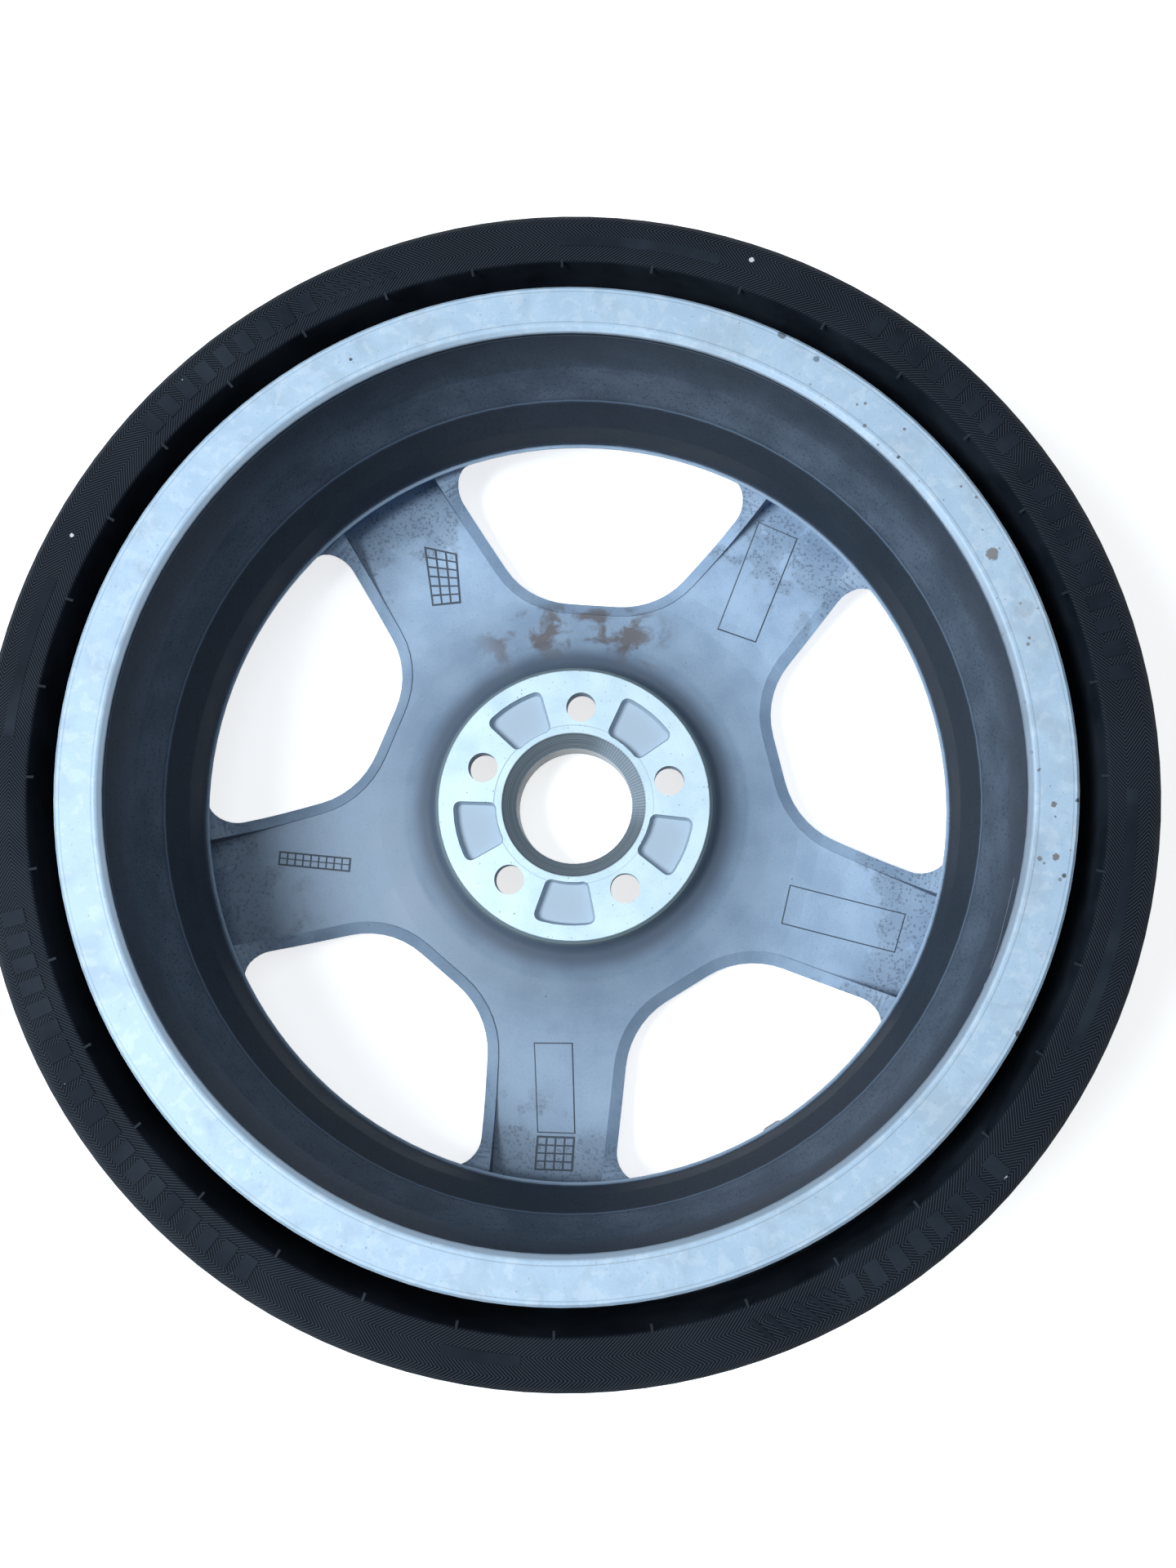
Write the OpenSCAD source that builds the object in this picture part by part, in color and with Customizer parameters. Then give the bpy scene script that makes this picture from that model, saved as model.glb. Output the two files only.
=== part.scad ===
// Collapsible spare wheel: a cast five-spoke rim with its tyre folded in, and the tyre valve.
// The wheel lies on its outboard side. +Z is the wheel's axis towards the car, and the origin is
// the centre of the bolt circle on the hub mounting face. Sizes are in millimetres.

/* [Rim] */
// Diameter of the bead seats
seat_d = 462; // [450:1:474]
// Width between the two flanges
rim_w = 152.4; // [146:0.1:160]
// Distance from the hub mounting face to the rim's middle plane
wheel_offset = 39; // [36:0.5:42]
// Height of a flange above its bead seat
flange_h = 17.5; // [16:0.1:19]
// Thickness of a flange along the axis
flange_t = 12.5; // [11.5:0.1:14]
// Radius of the flange's curled lip
curl_r = 9.5; // [9:0.1:10.5]
// Depth of the well below the bead seats
well_depth = 16; // [15:0.1:18]
// Thickness of the barrel wall in the well
well_t = 4; // [3.5:0.1:5]
// Thickness of the barrel wall under the inboard bead seat
seat_t = 5.5; // [4.5:0.1:6]
// Width of the flat part of the well
well_w = 23; // [18:0.5:28]
// Distance from the outboard flange to the edge of the well
ledge_in = 37.2; // [35:0.1:39]
// Height of the safety humps
hump_h = 1; // [0.6:0.1:1.4]

/* [Hub] */
// Diameter of the centre bore
bore_d = 66.5; // [56:0.1:68]
// Width of the chamfer round the centre bore
bore_chamfer = 7.75; // [4:0.05:8]
// Diameter of the mounting pad
pad_d = 158; // [150:1:164]
// Thickness of the hub from the pad to its front face
hub_t = 40; // [38:0.5:42]
// Diameter of the bolt circle
bolt_pcd = 112; // [108:1:114]
// Diameter of a bolt hole
bolt_d = 17; // [14:0.5:18]
// Radius of the ball seat under a wheel bolt
ball_r = 14; // [12:0.5:14.5]
// Length of the bolt hole above its ball seat
bolt_grip = 12; // [9:0.5:14]
// Depth of the lightening pockets in the pad
pocket_depth = 6; // [3:0.5:8]

/* [Spokes] */
// Distance from the axis to a window's inner edge
window_in = 122.3; // [118:0.1:126]
// Width of a spoke at its middle
spoke_w = 80; // [74:0.5:84]
// Angle by which each side of a spoke runs in towards the rim
spoke_taper = 1.76; // [1:0.01:2.5]
// Radius of a window's inner corners
window_in_r = 50; // [42:0.5:56]
// Radius of a window's outer corners
window_out_r = 14; // [12:0.5:18]
// Width of the sloping border round a window
border_w = 6.8; // [5.5:0.1:7.5]
// Fall of that border towards the window
border_fall = 4.3; // [3:0.1:5]
// Depth of the spoke's recessed back below the pad
recess_z = 27.5; // [27:0.1:29]

/* [Tyre] */
// Height of the tread above the flange
tyre_h = 45.5; // [41:0.1:50]
// Distance the tyre's edges stand in from the flanges' outer planes
tyre_inset = 1.2; // [0.5:0.1:3]
// Thickness of the tread
tread_t = 10; // [8:0.5:11]
// Thickness of the folded sidewall
side_t = 7; // [6:0.1:7.5]
// Distance from the flange's edge to the mouth of the fold
fold_step = 12.5; // [11:0.1:14]
// Depth of the fold from the tyre's side
fold_depth = 51.5; // [44:0.5:56]
// Width of the fold at its bottom
fold_gap = 6; // [4:0.1:7]
// Gap between the tyre's bead and the rim
bead_gap = 0.2; // [0.1:0.05:0.3]
// Width of a groove in the tread
groove_w = 5; // [3:0.5:7]
// Depth of a groove in the tread
groove_depth = 4; // [2:0.5:5]

/* [Valve] */
// Diameter of the valve hole in the rim
valve_hole_d = 11.5; // [11.3:0.1:12]
// Distance from the bead seat in to the valve's axis
valve_inset = 10; // [9.5:0.1:10.5]
// Length of the brass stem
stem_len = 31; // [29:0.5:32]
// Diameter of the stem's thread
stem_d = 7.7; // [7.5:0.1:8]
// Outside diameter of the cap
cap_d = 9.8; // [9.4:0.1:10.6]
// Gap between the parts of the valve
valve_gap = 0.1; // [0.05:0.01:0.15]

/* [Hidden] */
$fn = 96;

// Planes along the axis
mid_z = wheel_offset;
in_z = mid_z + rim_w / 2;
out_z = mid_z - rim_w / 2;
top_z = in_z + flange_t;
bottom_z = out_z - flange_t;
ledge_z = out_z + ledge_in;

// Radii of the barrel
seat_r = seat_d / 2;
flange_r = seat_r + flange_h;
curl_in_r = flange_r - curl_r;
well_r = seat_r - well_depth;
well_in_r = well_r - well_t;
ledge_r = well_in_r - 1.8;
ring_r = ledge_r + 0.5;
barrel_in_r = seat_r - seat_t;
seat_w = 18;
seat_fall = seat_w * tan(5);
toe_r = seat_r - seat_fall;
hump_r = toe_r + hump_h;
heel_r = 6.5;
lip_edge = 1.5;

// Hub and spokes
bore_r = bore_d / 2;
pad_r = pad_d / 2;
pad_edge = 2.2;
dish_r = pad_r + 21;
dish_z = -19.5;
spokes = 5;
step_angle = 360 / spokes;
star_r = ring_r + 17.8;
arc_r = ring_r + 12.5;
neck_arc_r = ring_r + 3.8;
front_hub_z = -hub_t;
front_rim_z = bottom_z + 2.5;
front_dish_r = bolt_pcd / 2 + ball_r + 5;

// Small geometry helpers
function unit(v) = v / norm(v);
function xy(p) = [p[0], p[1]];
function arc(c, r, a0, a1, n) =
    [for (i = [0:n]) let (a = a0 + (a1 - a0) * i / n) c + r * [cos(a), sin(a)]];
function turn(a) = a > 180 ? a - 360 : a < -180 ? a + 360 : a;
function corner(a, b, c, r, n) =
    let (
        u = unit(a - b),
        v = unit(c - b),
        half = acos(u * v) / 2,
        o = b + unit(u + v) * r / sin(half),
        s = b + u * r / tan(half) - o,
        e = b + v * r / tan(half) - o,
        a0 = atan2(s[1], s[0]),
        a1 = a0 + turn(atan2(e[1], e[0]) - a0)
    ) arc(o, r, a0, a1, n);
// An outline of points [x, y, r], where r rounds that corner
function rounded(p, n = 5) =
    [for (i = [0:len(p) - 1])
        let (a = p[(i + len(p) - 1) % len(p)], b = p[i], c = p[(i + 1) % len(p)])
        each (len(b) > 2 ? corner(xy(a), xy(b), xy(c), b[2], n) : [b])];
function mirrored(p) = [for (i = [len(p) - 1:-1:0]) [-p[i][0], p[i][1]]];

// A closed solid through a row of equal sections, each a ring of points
module skin(sections) {
    n = len(sections);
    k = len(sections[0]);
    sides = [for (i = [0:n - 2], j = [0:k - 1]) each
        let (a = i * k + j, b = i * k + (j + 1) % k, c = (i + 1) * k + j, d = (i + 1) * k + (j + 1) % k)
        [[a, d, b], [a, c, d]]];
    ends = [[for (j = [0:k - 1]) j], [for (j = [k - 1:-1:0]) (n - 1) * k + j]];
    polyhedron([for (s = sections) each s], concat(sides, ends), convexity = 6);
}

// The barrel's section from the inboard flange round to the outboard one and back inside
face_in_r = flange_r - 24.3;
slope_top_z = in_z - 0.23 * rim_w;
well_out_z = ledge_z + 4;
well_in_z = well_out_z + well_w;
tyre_side = [
    [face_in_r + 3.8, top_z, 1.5], [flange_r - lip_edge, top_z], [flange_r, top_z - lip_edge],
    each arc([curl_in_r, in_z + curl_r], curl_r, 0, -90, 8),
    [seat_r, in_z, heel_r], [toe_r, in_z - seat_w],
    [hump_r, in_z - seat_w - 1.7, 1.5], [hump_r, in_z - seat_w - 4.2, 1.5],
    [toe_r - 0.8, in_z - seat_w - 7, 2], [toe_r - 1, slope_top_z + 1.5, 8],
    [well_r, well_in_z + 1, 8], [well_r, well_out_z, 6],
    [toe_r - 0.8, out_z + seat_w + 6.2, 3],
    [hump_r, out_z + seat_w + 4.2, 1.2], [hump_r, out_z + seat_w + 1.7, 1.2],
    [toe_r, out_z + seat_w], [seat_r, out_z, heel_r],
    each arc([curl_in_r, out_z - curl_r], curl_r, 90, 0, 8),
    [flange_r, bottom_z + lip_edge], [flange_r - lip_edge, bottom_z]
];
hub_side = [
    [seat_r + 5, bottom_z, 1], [seat_r, bottom_z + 2.2, 2], [seat_r - 3, bottom_z + 5.7, 4],
    [seat_r - 5.5, bottom_z + 13, 10], [arc_r + 2.6, ledge_z - 24, 6],
    [arc_r + 0.2, ledge_z - 14, 6], [ledge_r + 0.3, ledge_z - 1, 0.8],
    [ledge_r, ledge_z + 0.3, 0.5], [ledge_r + 0.4, ledge_z + 1.1, 0.5],
    [well_in_r, ledge_z + 1.6, 0.6],
    [well_in_r + 1.1, well_in_z, 12], [barrel_in_r, slope_top_z, 12],
    [barrel_in_r + 0.5, top_z - 6, 3], [face_in_r, top_z - 1.5, 0.6]
];

// Height of the star's back, of the border round a window and of its front, by radius. A
// spoke_at share runs from the dish round the pad, 0, to the ring, 1.
function spoke_at(share) = dish_r + (ring_r - dish_r) * share;
back_line = [
    [dish_r, dish_z], [spoke_at(0.137), dish_z - 3.4], [spoke_at(0.273), 1.9 - recess_z],
    [spoke_at(0.392), 0.5 - recess_z], [spoke_at(0.547), -recess_z], [star_r, -recess_z]
];
border_line = [
    [spoke_at(0.073), dish_z - 1.5], [spoke_at(0.137), dish_z - 2.5],
    [spoke_at(0.273), 2.9 - recess_z], [spoke_at(0.392), 1.5 - recess_z],
    [spoke_at(0.526), 1.1 - recess_z], [spoke_at(0.654), 1.7 - recess_z],
    [spoke_at(0.726), 3.1 - recess_z], [spoke_at(0.8), 5.3 - recess_z],
    [spoke_at(0.863), 8.5 - recess_z], [spoke_at(0.936), 12.5 - recess_z],
    [spoke_at(1.032), 18.5 - recess_z]
];
// The border's edge over the throat, which rises at the window's corners to run into the ring
neck_line = [
    for (i = [0:len(border_line) - 3]) border_line[i] - [0, border_fall],
    [spoke_at(0.936), 9.5 - recess_z], [ring_r - 2, ledge_z - 12.5], [neck_arc_r, ledge_z - 8.5]
];
front_line = [
    [front_dish_r, front_hub_z], [front_dish_r + 9, front_hub_z - 4.5],
    [(front_dish_r + ring_r) / 2, (front_hub_z - 5.5 + front_rim_z) / 2 - 0.5],
    [ring_r - 8, front_rim_z], [star_r + 5, front_rim_z]
];
cap_seat_r = bore_r + 2.75;
cap_seat_depth = 10;
pad_step_r = bore_r + bore_chamfer + 4.5;
pad_step = 0.3;
star_section = [
    [bore_r, -bore_chamfer - pad_step], [bore_r + bore_chamfer, -pad_step],
    [pad_step_r, -pad_step], [pad_step_r, 0], [pad_r - 2, 0], [pad_r, -pad_edge],
    [pad_r + 2.5, dish_z * 0.6, 8], [dish_r, dish_z, 20],
    each [for (i = [1:len(back_line) - 1]) back_line[i]],
    [star_r + 2, front_rim_z + 9], [star_r + 5, front_rim_z],
    each [for (i = [len(front_line) - 2:-1:0]) front_line[i]],
    [cap_seat_r, front_hub_z], [cap_seat_r, front_hub_z + cap_seat_depth],
    [bore_r, front_hub_z + cap_seat_depth]
];

// One window, with +Y through its middle. The right-hand side line runs along side_dir, and
// side_n points from it into the spoke.
half_angle = step_angle / 2;
spoke_u = [sin(half_angle), cos(half_angle)];
spoke_v = [-cos(half_angle), sin(half_angle)];
spoke_mid = 150;
side_dir = unit(spoke_u - spoke_v * tan(spoke_taper));
side_n = [side_dir[1], -side_dir[0]];
function side_at(o) = spoke_u * spoke_mid + spoke_v * spoke_w / 2 + side_n * o;
function at_radius(p, r) = p + side_dir * (sqrt(pow(p * side_dir, 2) - p * p + r * r) - p * side_dir);
function at_height(p, y) = p + side_dir * (y - p[1]) / side_dir[1];

function out_end(r, limit) = at_radius(side_at(-r), limit - r) + side_n * r;
steps_out = 9;
steps_in = 7;
steps_side = 4;
// A window's outline from the ring, at radius limit, round a corner of radius r to the middle of
// its inner edge
function window_line(r, limit) =
    let (
        end = out_end(r, limit),
        c = end - side_n * r,
        inner = corner(end, at_height(side_at(0), window_in), [0, window_in], window_in_r, steps_in)
    )
    concat(
        arc(c, r, atan2(c[1], c[0]), atan2(side_n[1], side_n[0]), steps_out),
        [for (i = [1:steps_side - 1]) end + (inner[0] - end) * i / steps_side],
        inner
    );
// The line where the border meets the spoke's recessed back, o away from the throat
function border(o, r = window_out_r, limit = neck_arc_r) =
    let (
        line = side_at(o),
        start = at_radius(line, arc_r),
        end = out_end(r, limit) + side_n * o,
        inner = corner(end, at_height(line, window_in - o), [0, window_in - o], window_in_r + o, steps_in)
    )
    concat(
        [for (i = [0:steps_out]) start + (end - start) * i / steps_out],
        [for (i = [1:steps_side - 1]) end + (inner[0] - end) * i / steps_side],
        inner
    );
function window_hole(o) =
    let (right = border(o), far = unit(right[0]) * (flange_r + 20))
    concat([far], right, mirrored(right), [[-far[0], far[1]]]);

// Sections of the border, each from its back edge b over the throat a to the front edges c and d
front_draft = 4;
front_round = 2.5;
front_sink = 0.3;
function rib_section(a, b, c, d) =
    let (
        n = unit(d - c),
        edge = c + n * front_draft,
        face = c + n * (front_draft + front_round)
    )
    [
        [b[0], b[1], lookup(norm(b), border_line)], [a[0], a[1], lookup(norm(a), neck_line)],
        [edge[0], edge[1], lookup(norm(edge), front_line) + front_round],
        [face[0], face[1], lookup(norm(face), front_line) + front_sink],
        [d[0], d[1], lookup(norm(d), front_line) + front_sink]
    ];
// Two sections within the ring, where the border ends
function rib_root(a, b, c) =
    let (p = unit(a) * (ring_r + 10), q = unit(b) * (arc_r + 4), e = unit(c) * (seat_r - 0.5))
    [
        [q[0], q[1], ledge_z - 16], [p[0], p[1], ledge_z - 10.5], [e[0], e[1], front_rim_z + front_round],
        [e[0], e[1], front_rim_z + front_sink], [q[0], q[1], front_rim_z + front_sink]
    ];
function rib_end(a, b) =
    let (p = unit(a) * (seat_r + 1), q = unit(b) * (seat_r + 1), top = out_z - 6, low = front_rim_z + 1.2)
    [[q[0], q[1], top], [p[0], p[1], top], [p[0], p[1], top - 1], [p[0], p[1], low], [q[0], q[1], low]];
module window_border() {
    front_r = window_out_r - 4;
    front_limit = arc_r + 1.5;
    a = window_line(window_out_r, neck_arc_r);
    b = border(border_w);
    c = window_line(front_r, front_limit);
    d = border(border_w, front_r, front_limit);
    right = concat(
        [rib_end(c[0], b[0]), rib_root(a[0], b[0], c[0])],
        [for (i = [0:len(a) - 1]) rib_section(a[i], b[i], c[i], d[i])]
    );
    left = [for (i = [len(right) - 1:-1:0]) [for (p = right[i]) [-p[0], p[1], p[2]]]];
    skin(concat(right, left));
}

// A lightening pocket of the pad, with +Y through its middle
pocket_in_r = bolt_pcd / 2 - 12;
pocket_out_r = pad_r - 10.3;
pocket_half = 15.5;
pocket_corner = 4;
pocket_wall = 1.5;
function pocket(o) =
    let (
        a = pocket_half,
        r0 = pocket_in_r + o,
        r1 = pocket_out_r - o,
        da = asin(o / r1),
        db = asin(o / r0),
        out = arc([0, 0], r1, 90 - a + da, 90 + a - da, 6),
        in = arc([0, 0], r0, 90 + a - db, 90 - a + db, 4)
    )
    rounded([
        for (i = [0:len(out) - 1]) i == 0 || i == len(out) - 1 ? [each out[i], pocket_corner - o] : out[i],
        for (i = [0:len(in) - 1]) i == 0 || i == len(in) - 1 ? [each in[i], pocket_corner - o] : in[i]
    ], 4);
module hub_pocket() {
    lip = 0.5;
    skin([
        [for (p = pocket(pocket_wall)) [p[0], p[1], -pocket_depth]],
        [for (p = pocket(0)) [p[0], p[1], lip]]
    ]);
}

module bolt_hole() {
    seat_z = -bolt_grip - sqrt(ball_r * ball_r - bolt_d * bolt_d / 4);
    translate([0, 0, -hub_t - 10]) cylinder(r = bolt_d / 2, h = hub_t + 20);
    translate([0, 0, seat_z]) sphere(r = ball_r);
    translate([0, 0, -hub_t - 10]) cylinder(r = ball_r, h = seat_z + hub_t + 10);
}

// The valve stands in a pocket of the outboard side, in the middle of one window
valve_angle = 90 + 3 * step_angle;
valve_r = seat_r - valve_inset;
valve_seat_z = ledge_z - 13;
valve_back = ledge_z - valve_seat_z + 3;
valve_front = valve_seat_z - bottom_z + 10;
valve_wall = 3.5;
valve_shoulder_r = 6.4;
valve_head_r = 8;
module at_valve() {
    rotate([0, 0, valve_angle]) translate([valve_r, 0, valve_seat_z]) rotate([180, 0, 0]) children();
}
module valve_boss() {
    intersection() {
        at_valve() translate([0, 0, -12]) cylinder(r = valve_head_r + 3.5, h = valve_wall + 12);
        rotate_extrude() polygon([
            [ledge_r + 1, valve_seat_z - valve_wall], [valve_r + 4, valve_seat_z - valve_wall],
            [valve_r + 4, ledge_z - 6], [ledge_r + 1, ledge_z - 2.5]
        ]);
    }
}
module valve_cuts() {
    at_valve() {
        translate([0, 0, -valve_back]) cylinder(r = valve_head_r + 0.3, h = valve_back);
        translate([0, 0, -1]) cylinder(d = valve_hole_d, h = valve_wall + 2);
        translate([0, 0, valve_wall]) cylinder(r = valve_shoulder_r + 0.5, h = valve_front);
    }
}

module wheel_rim() {
    color([0.62, 0.68, 0.76]) difference() {
        union() {
            rotate_extrude() polygon(rounded(concat(tyre_side, hub_side)));
            difference() {
                rotate_extrude() polygon(rounded(star_section));
                for (i = [0:spokes - 1]) rotate([0, 0, i * step_angle])
                    translate([0, 0, bottom_z - hub_t]) linear_extrude(2 * hub_t - bottom_z)
                        polygon(window_hole(border_w - 0.8));
            }
            for (i = [0:spokes - 1]) rotate([0, 0, i * step_angle]) window_border();
            valve_boss();
        }
        for (i = [0:spokes - 1]) rotate([0, 0, i * step_angle]) {
            translate([0, bolt_pcd / 2, 0]) bolt_hole();
            rotate([0, 0, half_angle]) hub_pocket();
        }
        valve_cuts();
    }
}

// The folded tyre's section, from the tread over the side and the fold to the bead and back
tread_r = flange_r + tyre_h;
band_z = rim_w / 2 + flange_t - tyre_inset;
fold_z = band_z - fold_depth;
tread_in_r = tread_r - tread_t;
side_z = rim_w / 2 - bead_gap;
toe_z = rim_w / 2 - seat_w + 2;
shoulder_z = 0.754 * band_z;
function tread_at(z) = tread_r - 3 * pow(z / shoulder_z, 2);
function groove(z) = [
    [tread_at(z), z - groove_w / 2], [tread_at(z) - groove_depth, z - groove_w / 2 + 0.6],
    [tread_at(z) - groove_depth, z + groove_w / 2 - 0.6], [tread_at(z), z + groove_w / 2]
];
fold_r = flange_r + fold_step;
fold_wall_r = fold_r - 1.5;
fold_side_r = fold_wall_r - fold_gap;
hollow_r = fold_wall_r + side_t;
hollow_w = tread_in_r - hollow_r;
hollow_z = band_z - 9;
tyre_half = [
    each groove(0.16 * band_z), each groove(0.48 * band_z),
    [tread_at(shoulder_z), shoulder_z, 12], [tread_r - 4.2, band_z - 12, 6],
    [tread_r - 6.6, band_z - 3, 1.5], [tread_r - 9.8, band_z, 0.6], [fold_r + 1, band_z, 1.6],
    [fold_wall_r, fold_z, fold_gap / 2 - 0.1], [fold_side_r, fold_z, fold_gap / 2 - 0.1],
    [fold_side_r - 1, side_z - 8, 6], [curl_in_r + 8, side_z - 1.5, 6], [curl_in_r + 1, side_z, 4],
    [seat_r + bead_gap, side_z, heel_r + 0.3],
    [toe_r + 2 * tan(5) + bead_gap, toe_z, 1.5], [toe_r + 4, toe_z - 2.5, 3],
    [fold_side_r - side_t - 3, toe_z + 3, 5], [fold_side_r - side_t - 0.2, toe_z - 6, 6],
    [fold_side_r - side_t, fold_z - side_t, side_t + 0.45 * fold_gap],
    [hollow_r, fold_z - side_t, side_t + 0.45 * fold_gap],
    [hollow_r + 0.09 * hollow_w, hollow_z - 0.34 * hollow_w, 0.34 * hollow_w],
    [hollow_r + 0.43 * hollow_w, hollow_z, 0.28 * hollow_w],
    [tread_in_r - 0.17 * hollow_w, hollow_z, 0.28 * hollow_w],
    [tread_in_r, hollow_z - 0.74 * hollow_w, 0.6 * hollow_w]
];
module folded_tyre() {
    other = [for (i = [len(tyre_half) - 1:-1:0]) let (p = tyre_half[i])
        len(p) > 2 ? [p[0], -p[1], p[2]] : [p[0], -p[1]]];
    color([0.13, 0.14, 0.16]) translate([0, 0, mid_z])
        rotate_extrude() polygon(rounded(concat(tyre_half, other), 3));
}

// The valve's pieces, measured outwards from the rim's inner face along the valve's axis
stem_r = stem_d / 2;
stem_bore_r = 2.6;
stem_inlet_r = 1.5;
stem_ledge = 14;
core_r = stem_bore_r - valve_gap;
core_low = 11;
core_step = stem_ledge + 2;
core_top = stem_len - 2.5;
core_neck_r = 1.9;
chamber_r = 1.5;
chamber_top = 20;
pin_r = 0.6;
collar = 19;
rubber_top = 22;
wire_d = 0.35;

module valve_rubber_body() {
    hole_r = valve_hole_d / 2 - valve_gap;
    color([0.07, 0.07, 0.08]) at_valve() rotate_extrude() polygon(rounded([
        [stem_r + valve_gap, -3], [valve_head_r - 2, -3, 0.5], [valve_head_r, -1.2, 0.6],
        [valve_head_r, 0], [hole_r, 0], [hole_r, valve_wall], [valve_shoulder_r, valve_wall],
        [valve_shoulder_r, valve_wall + 3, 1], [stem_r + 1.3, 12, 3], [stem_r + 1.1, rubber_top, 0.4],
        [stem_r + valve_gap, rubber_top]
    ], 4));
}
module valve_brass_stem() {
    color([0.76, 0.62, 0.33]) at_valve() rotate_extrude() polygon([
        [stem_inlet_r, -1.5], [stem_r, -1.5], [stem_r, stem_len - 0.5], [stem_r - 0.5, stem_len],
        [stem_bore_r, stem_len], [stem_bore_r, stem_ledge], [core_neck_r + 0.3, stem_ledge],
        [core_neck_r + 0.3, 6], [stem_inlet_r, 5]
    ]);
}
module valve_core_body() {
    bore = pin_r + valve_gap;
    color([0.78, 0.66, 0.4]) at_valve() rotate_extrude() polygon([
        [bore, core_low], [core_neck_r, core_low], [core_neck_r, core_step], [core_r, core_step],
        [core_r, core_top], [core_r - 0.6, core_top], [core_r - 0.6, chamber_top + 2],
        [bore, chamber_top + 2], [bore, chamber_top], [chamber_r, chamber_top],
        [chamber_r, core_low + 1], [bore, core_low + 1]
    ]);
}
module valve_core_gasket() {
    color([0.7, 0.15, 0.12]) at_valve() translate([0, 0, stem_ledge]) rotate_extrude() polygon([
        [core_neck_r + 0.05, 0], [stem_bore_r - 0.05, 0], [stem_bore_r - 0.05, core_step - stem_ledge],
        [core_neck_r + 0.05, core_step - stem_ledge]
    ]);
}
module valve_core_pin() {
    color([0.8, 0.7, 0.45]) at_valve() rotate_extrude() polygon([
        [0, core_low - 2], [chamber_r, core_low - 2], [chamber_r, core_low - 0.8],
        [pin_r, core_low - 0.8], [pin_r, collar], [1.3, collar], [1.3, collar + 0.6],
        [pin_r, collar + 0.6], [pin_r, core_top], [0.9, core_top], [0.9, core_top + 1], [0, core_top + 1]
    ]);
}
module valve_core_seal() {
    color([0.1, 0.1, 0.1]) at_valve() translate([0, 0, core_low - 0.8]) rotate_extrude()
        translate([pin_r, 0]) square([chamber_r - pin_r - 0.05, 0.8]);
}
module valve_core_spring() {
    turns = 7;
    per_turn = 12;
    low = core_low + 1 + wire_d / 2;
    high = collar - wire_d / 2;
    coil_r = 1;
    count = turns * per_turn;
    color([0.75, 0.75, 0.78]) at_valve() skin([for (i = [0:count])
        let (a = 360 * i / per_turn, z = low + (high - low) * i / count)
        [for (j = [0:5]) let (b = -60 * j, r = coil_r + wire_d / 2 * cos(b))
            [r * cos(a), r * sin(a), z + wire_d / 2 * sin(b)]]]);
}
module valve_cap() {
    skirt = rubber_top + 0.6;
    top = stem_len + 2.7;
    color([0.06, 0.06, 0.07]) at_valve() rotate_extrude() polygon([
        [stem_r + valve_gap, skirt], [cap_d / 2, skirt], [cap_d / 2, top - 0.7],
        [cap_d / 2 - 0.7, top], [0, top], [0, top - 1.4], [stem_r + valve_gap, top - 1.4]
    ]);
}
module valve_cap_seal() {
    color([0.15, 0.15, 0.16]) at_valve() translate([0, 0, stem_len + 0.1]) rotate_extrude()
        translate([stem_inlet_r, 0]) square([stem_r - stem_inlet_r, 1.2]);
}

wheel_rim();
folded_tyre();
valve_rubber_body();
valve_brass_stem();
valve_core_body();
valve_core_gasket();
valve_core_pin();
valve_core_seal();
valve_core_spring();
valve_cap();
valve_cap_seal();
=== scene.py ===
import math

import bmesh
import bpy
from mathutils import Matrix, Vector
from mathutils.bvhtree import BVHTree


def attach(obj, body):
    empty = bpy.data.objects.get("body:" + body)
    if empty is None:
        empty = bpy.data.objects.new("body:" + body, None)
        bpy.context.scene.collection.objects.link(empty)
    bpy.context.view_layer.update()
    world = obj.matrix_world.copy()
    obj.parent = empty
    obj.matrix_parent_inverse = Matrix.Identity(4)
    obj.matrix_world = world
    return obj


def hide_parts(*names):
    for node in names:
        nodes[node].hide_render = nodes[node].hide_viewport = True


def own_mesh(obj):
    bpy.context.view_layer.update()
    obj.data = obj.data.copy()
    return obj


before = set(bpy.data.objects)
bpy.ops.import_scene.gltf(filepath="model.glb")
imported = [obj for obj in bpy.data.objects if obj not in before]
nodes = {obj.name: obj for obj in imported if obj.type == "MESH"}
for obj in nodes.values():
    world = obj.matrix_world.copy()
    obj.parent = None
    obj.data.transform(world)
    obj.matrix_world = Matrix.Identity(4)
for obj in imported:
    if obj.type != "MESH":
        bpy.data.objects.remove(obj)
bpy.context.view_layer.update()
print("frame loaded:", len(nodes), "nodes")


def newMaterial(name):
    material = bpy.data.materials.new(name)
    material.use_nodes = True
    tree = material.node_tree
    tree.nodes.clear()
    output = tree.nodes.new("ShaderNodeOutputMaterial")
    shader = tree.nodes.new("ShaderNodeBsdfPrincipled")
    tree.links.new(shader.outputs["BSDF"], output.inputs["Surface"])
    return material, tree, shader


def connect(tree, value, socket):
    # a value or a socket goes into a node's input
    if isinstance(value, bpy.types.NodeSocket):
        tree.links.new(value, socket)
    elif socket.type == "RGBA" and len(value) == 3:
        socket.default_value = (*value, 1)
    else:
        socket.default_value = value


def put(tree, kind, settings=None, **inputs):
    # adds a node; an input is named with _ for a space, or by i and its number
    node = tree.nodes.new("ShaderNode" + kind)
    for key, value in (settings or {}).items():
        setattr(node, key, value)
    for key, value in inputs.items():
        numbered = key[0] == "i" and key[1:].isdigit()
        connect(tree, value, node.inputs[int(key[1:]) if numbered else key.replace("_", " ")])
    return node


def calc(tree, operation, a, b=None, c=None, clamp=False):
    given = {"i%d" % i: value for i, value in enumerate((a, b, c)) if value is not None}
    return put(tree, "Math", {"operation": operation, "use_clamp": clamp}, **given).outputs[0]


def times(tree, first, *others):
    for other in others:
        first = calc(tree, "MULTIPLY", first, other)
    return first


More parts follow.
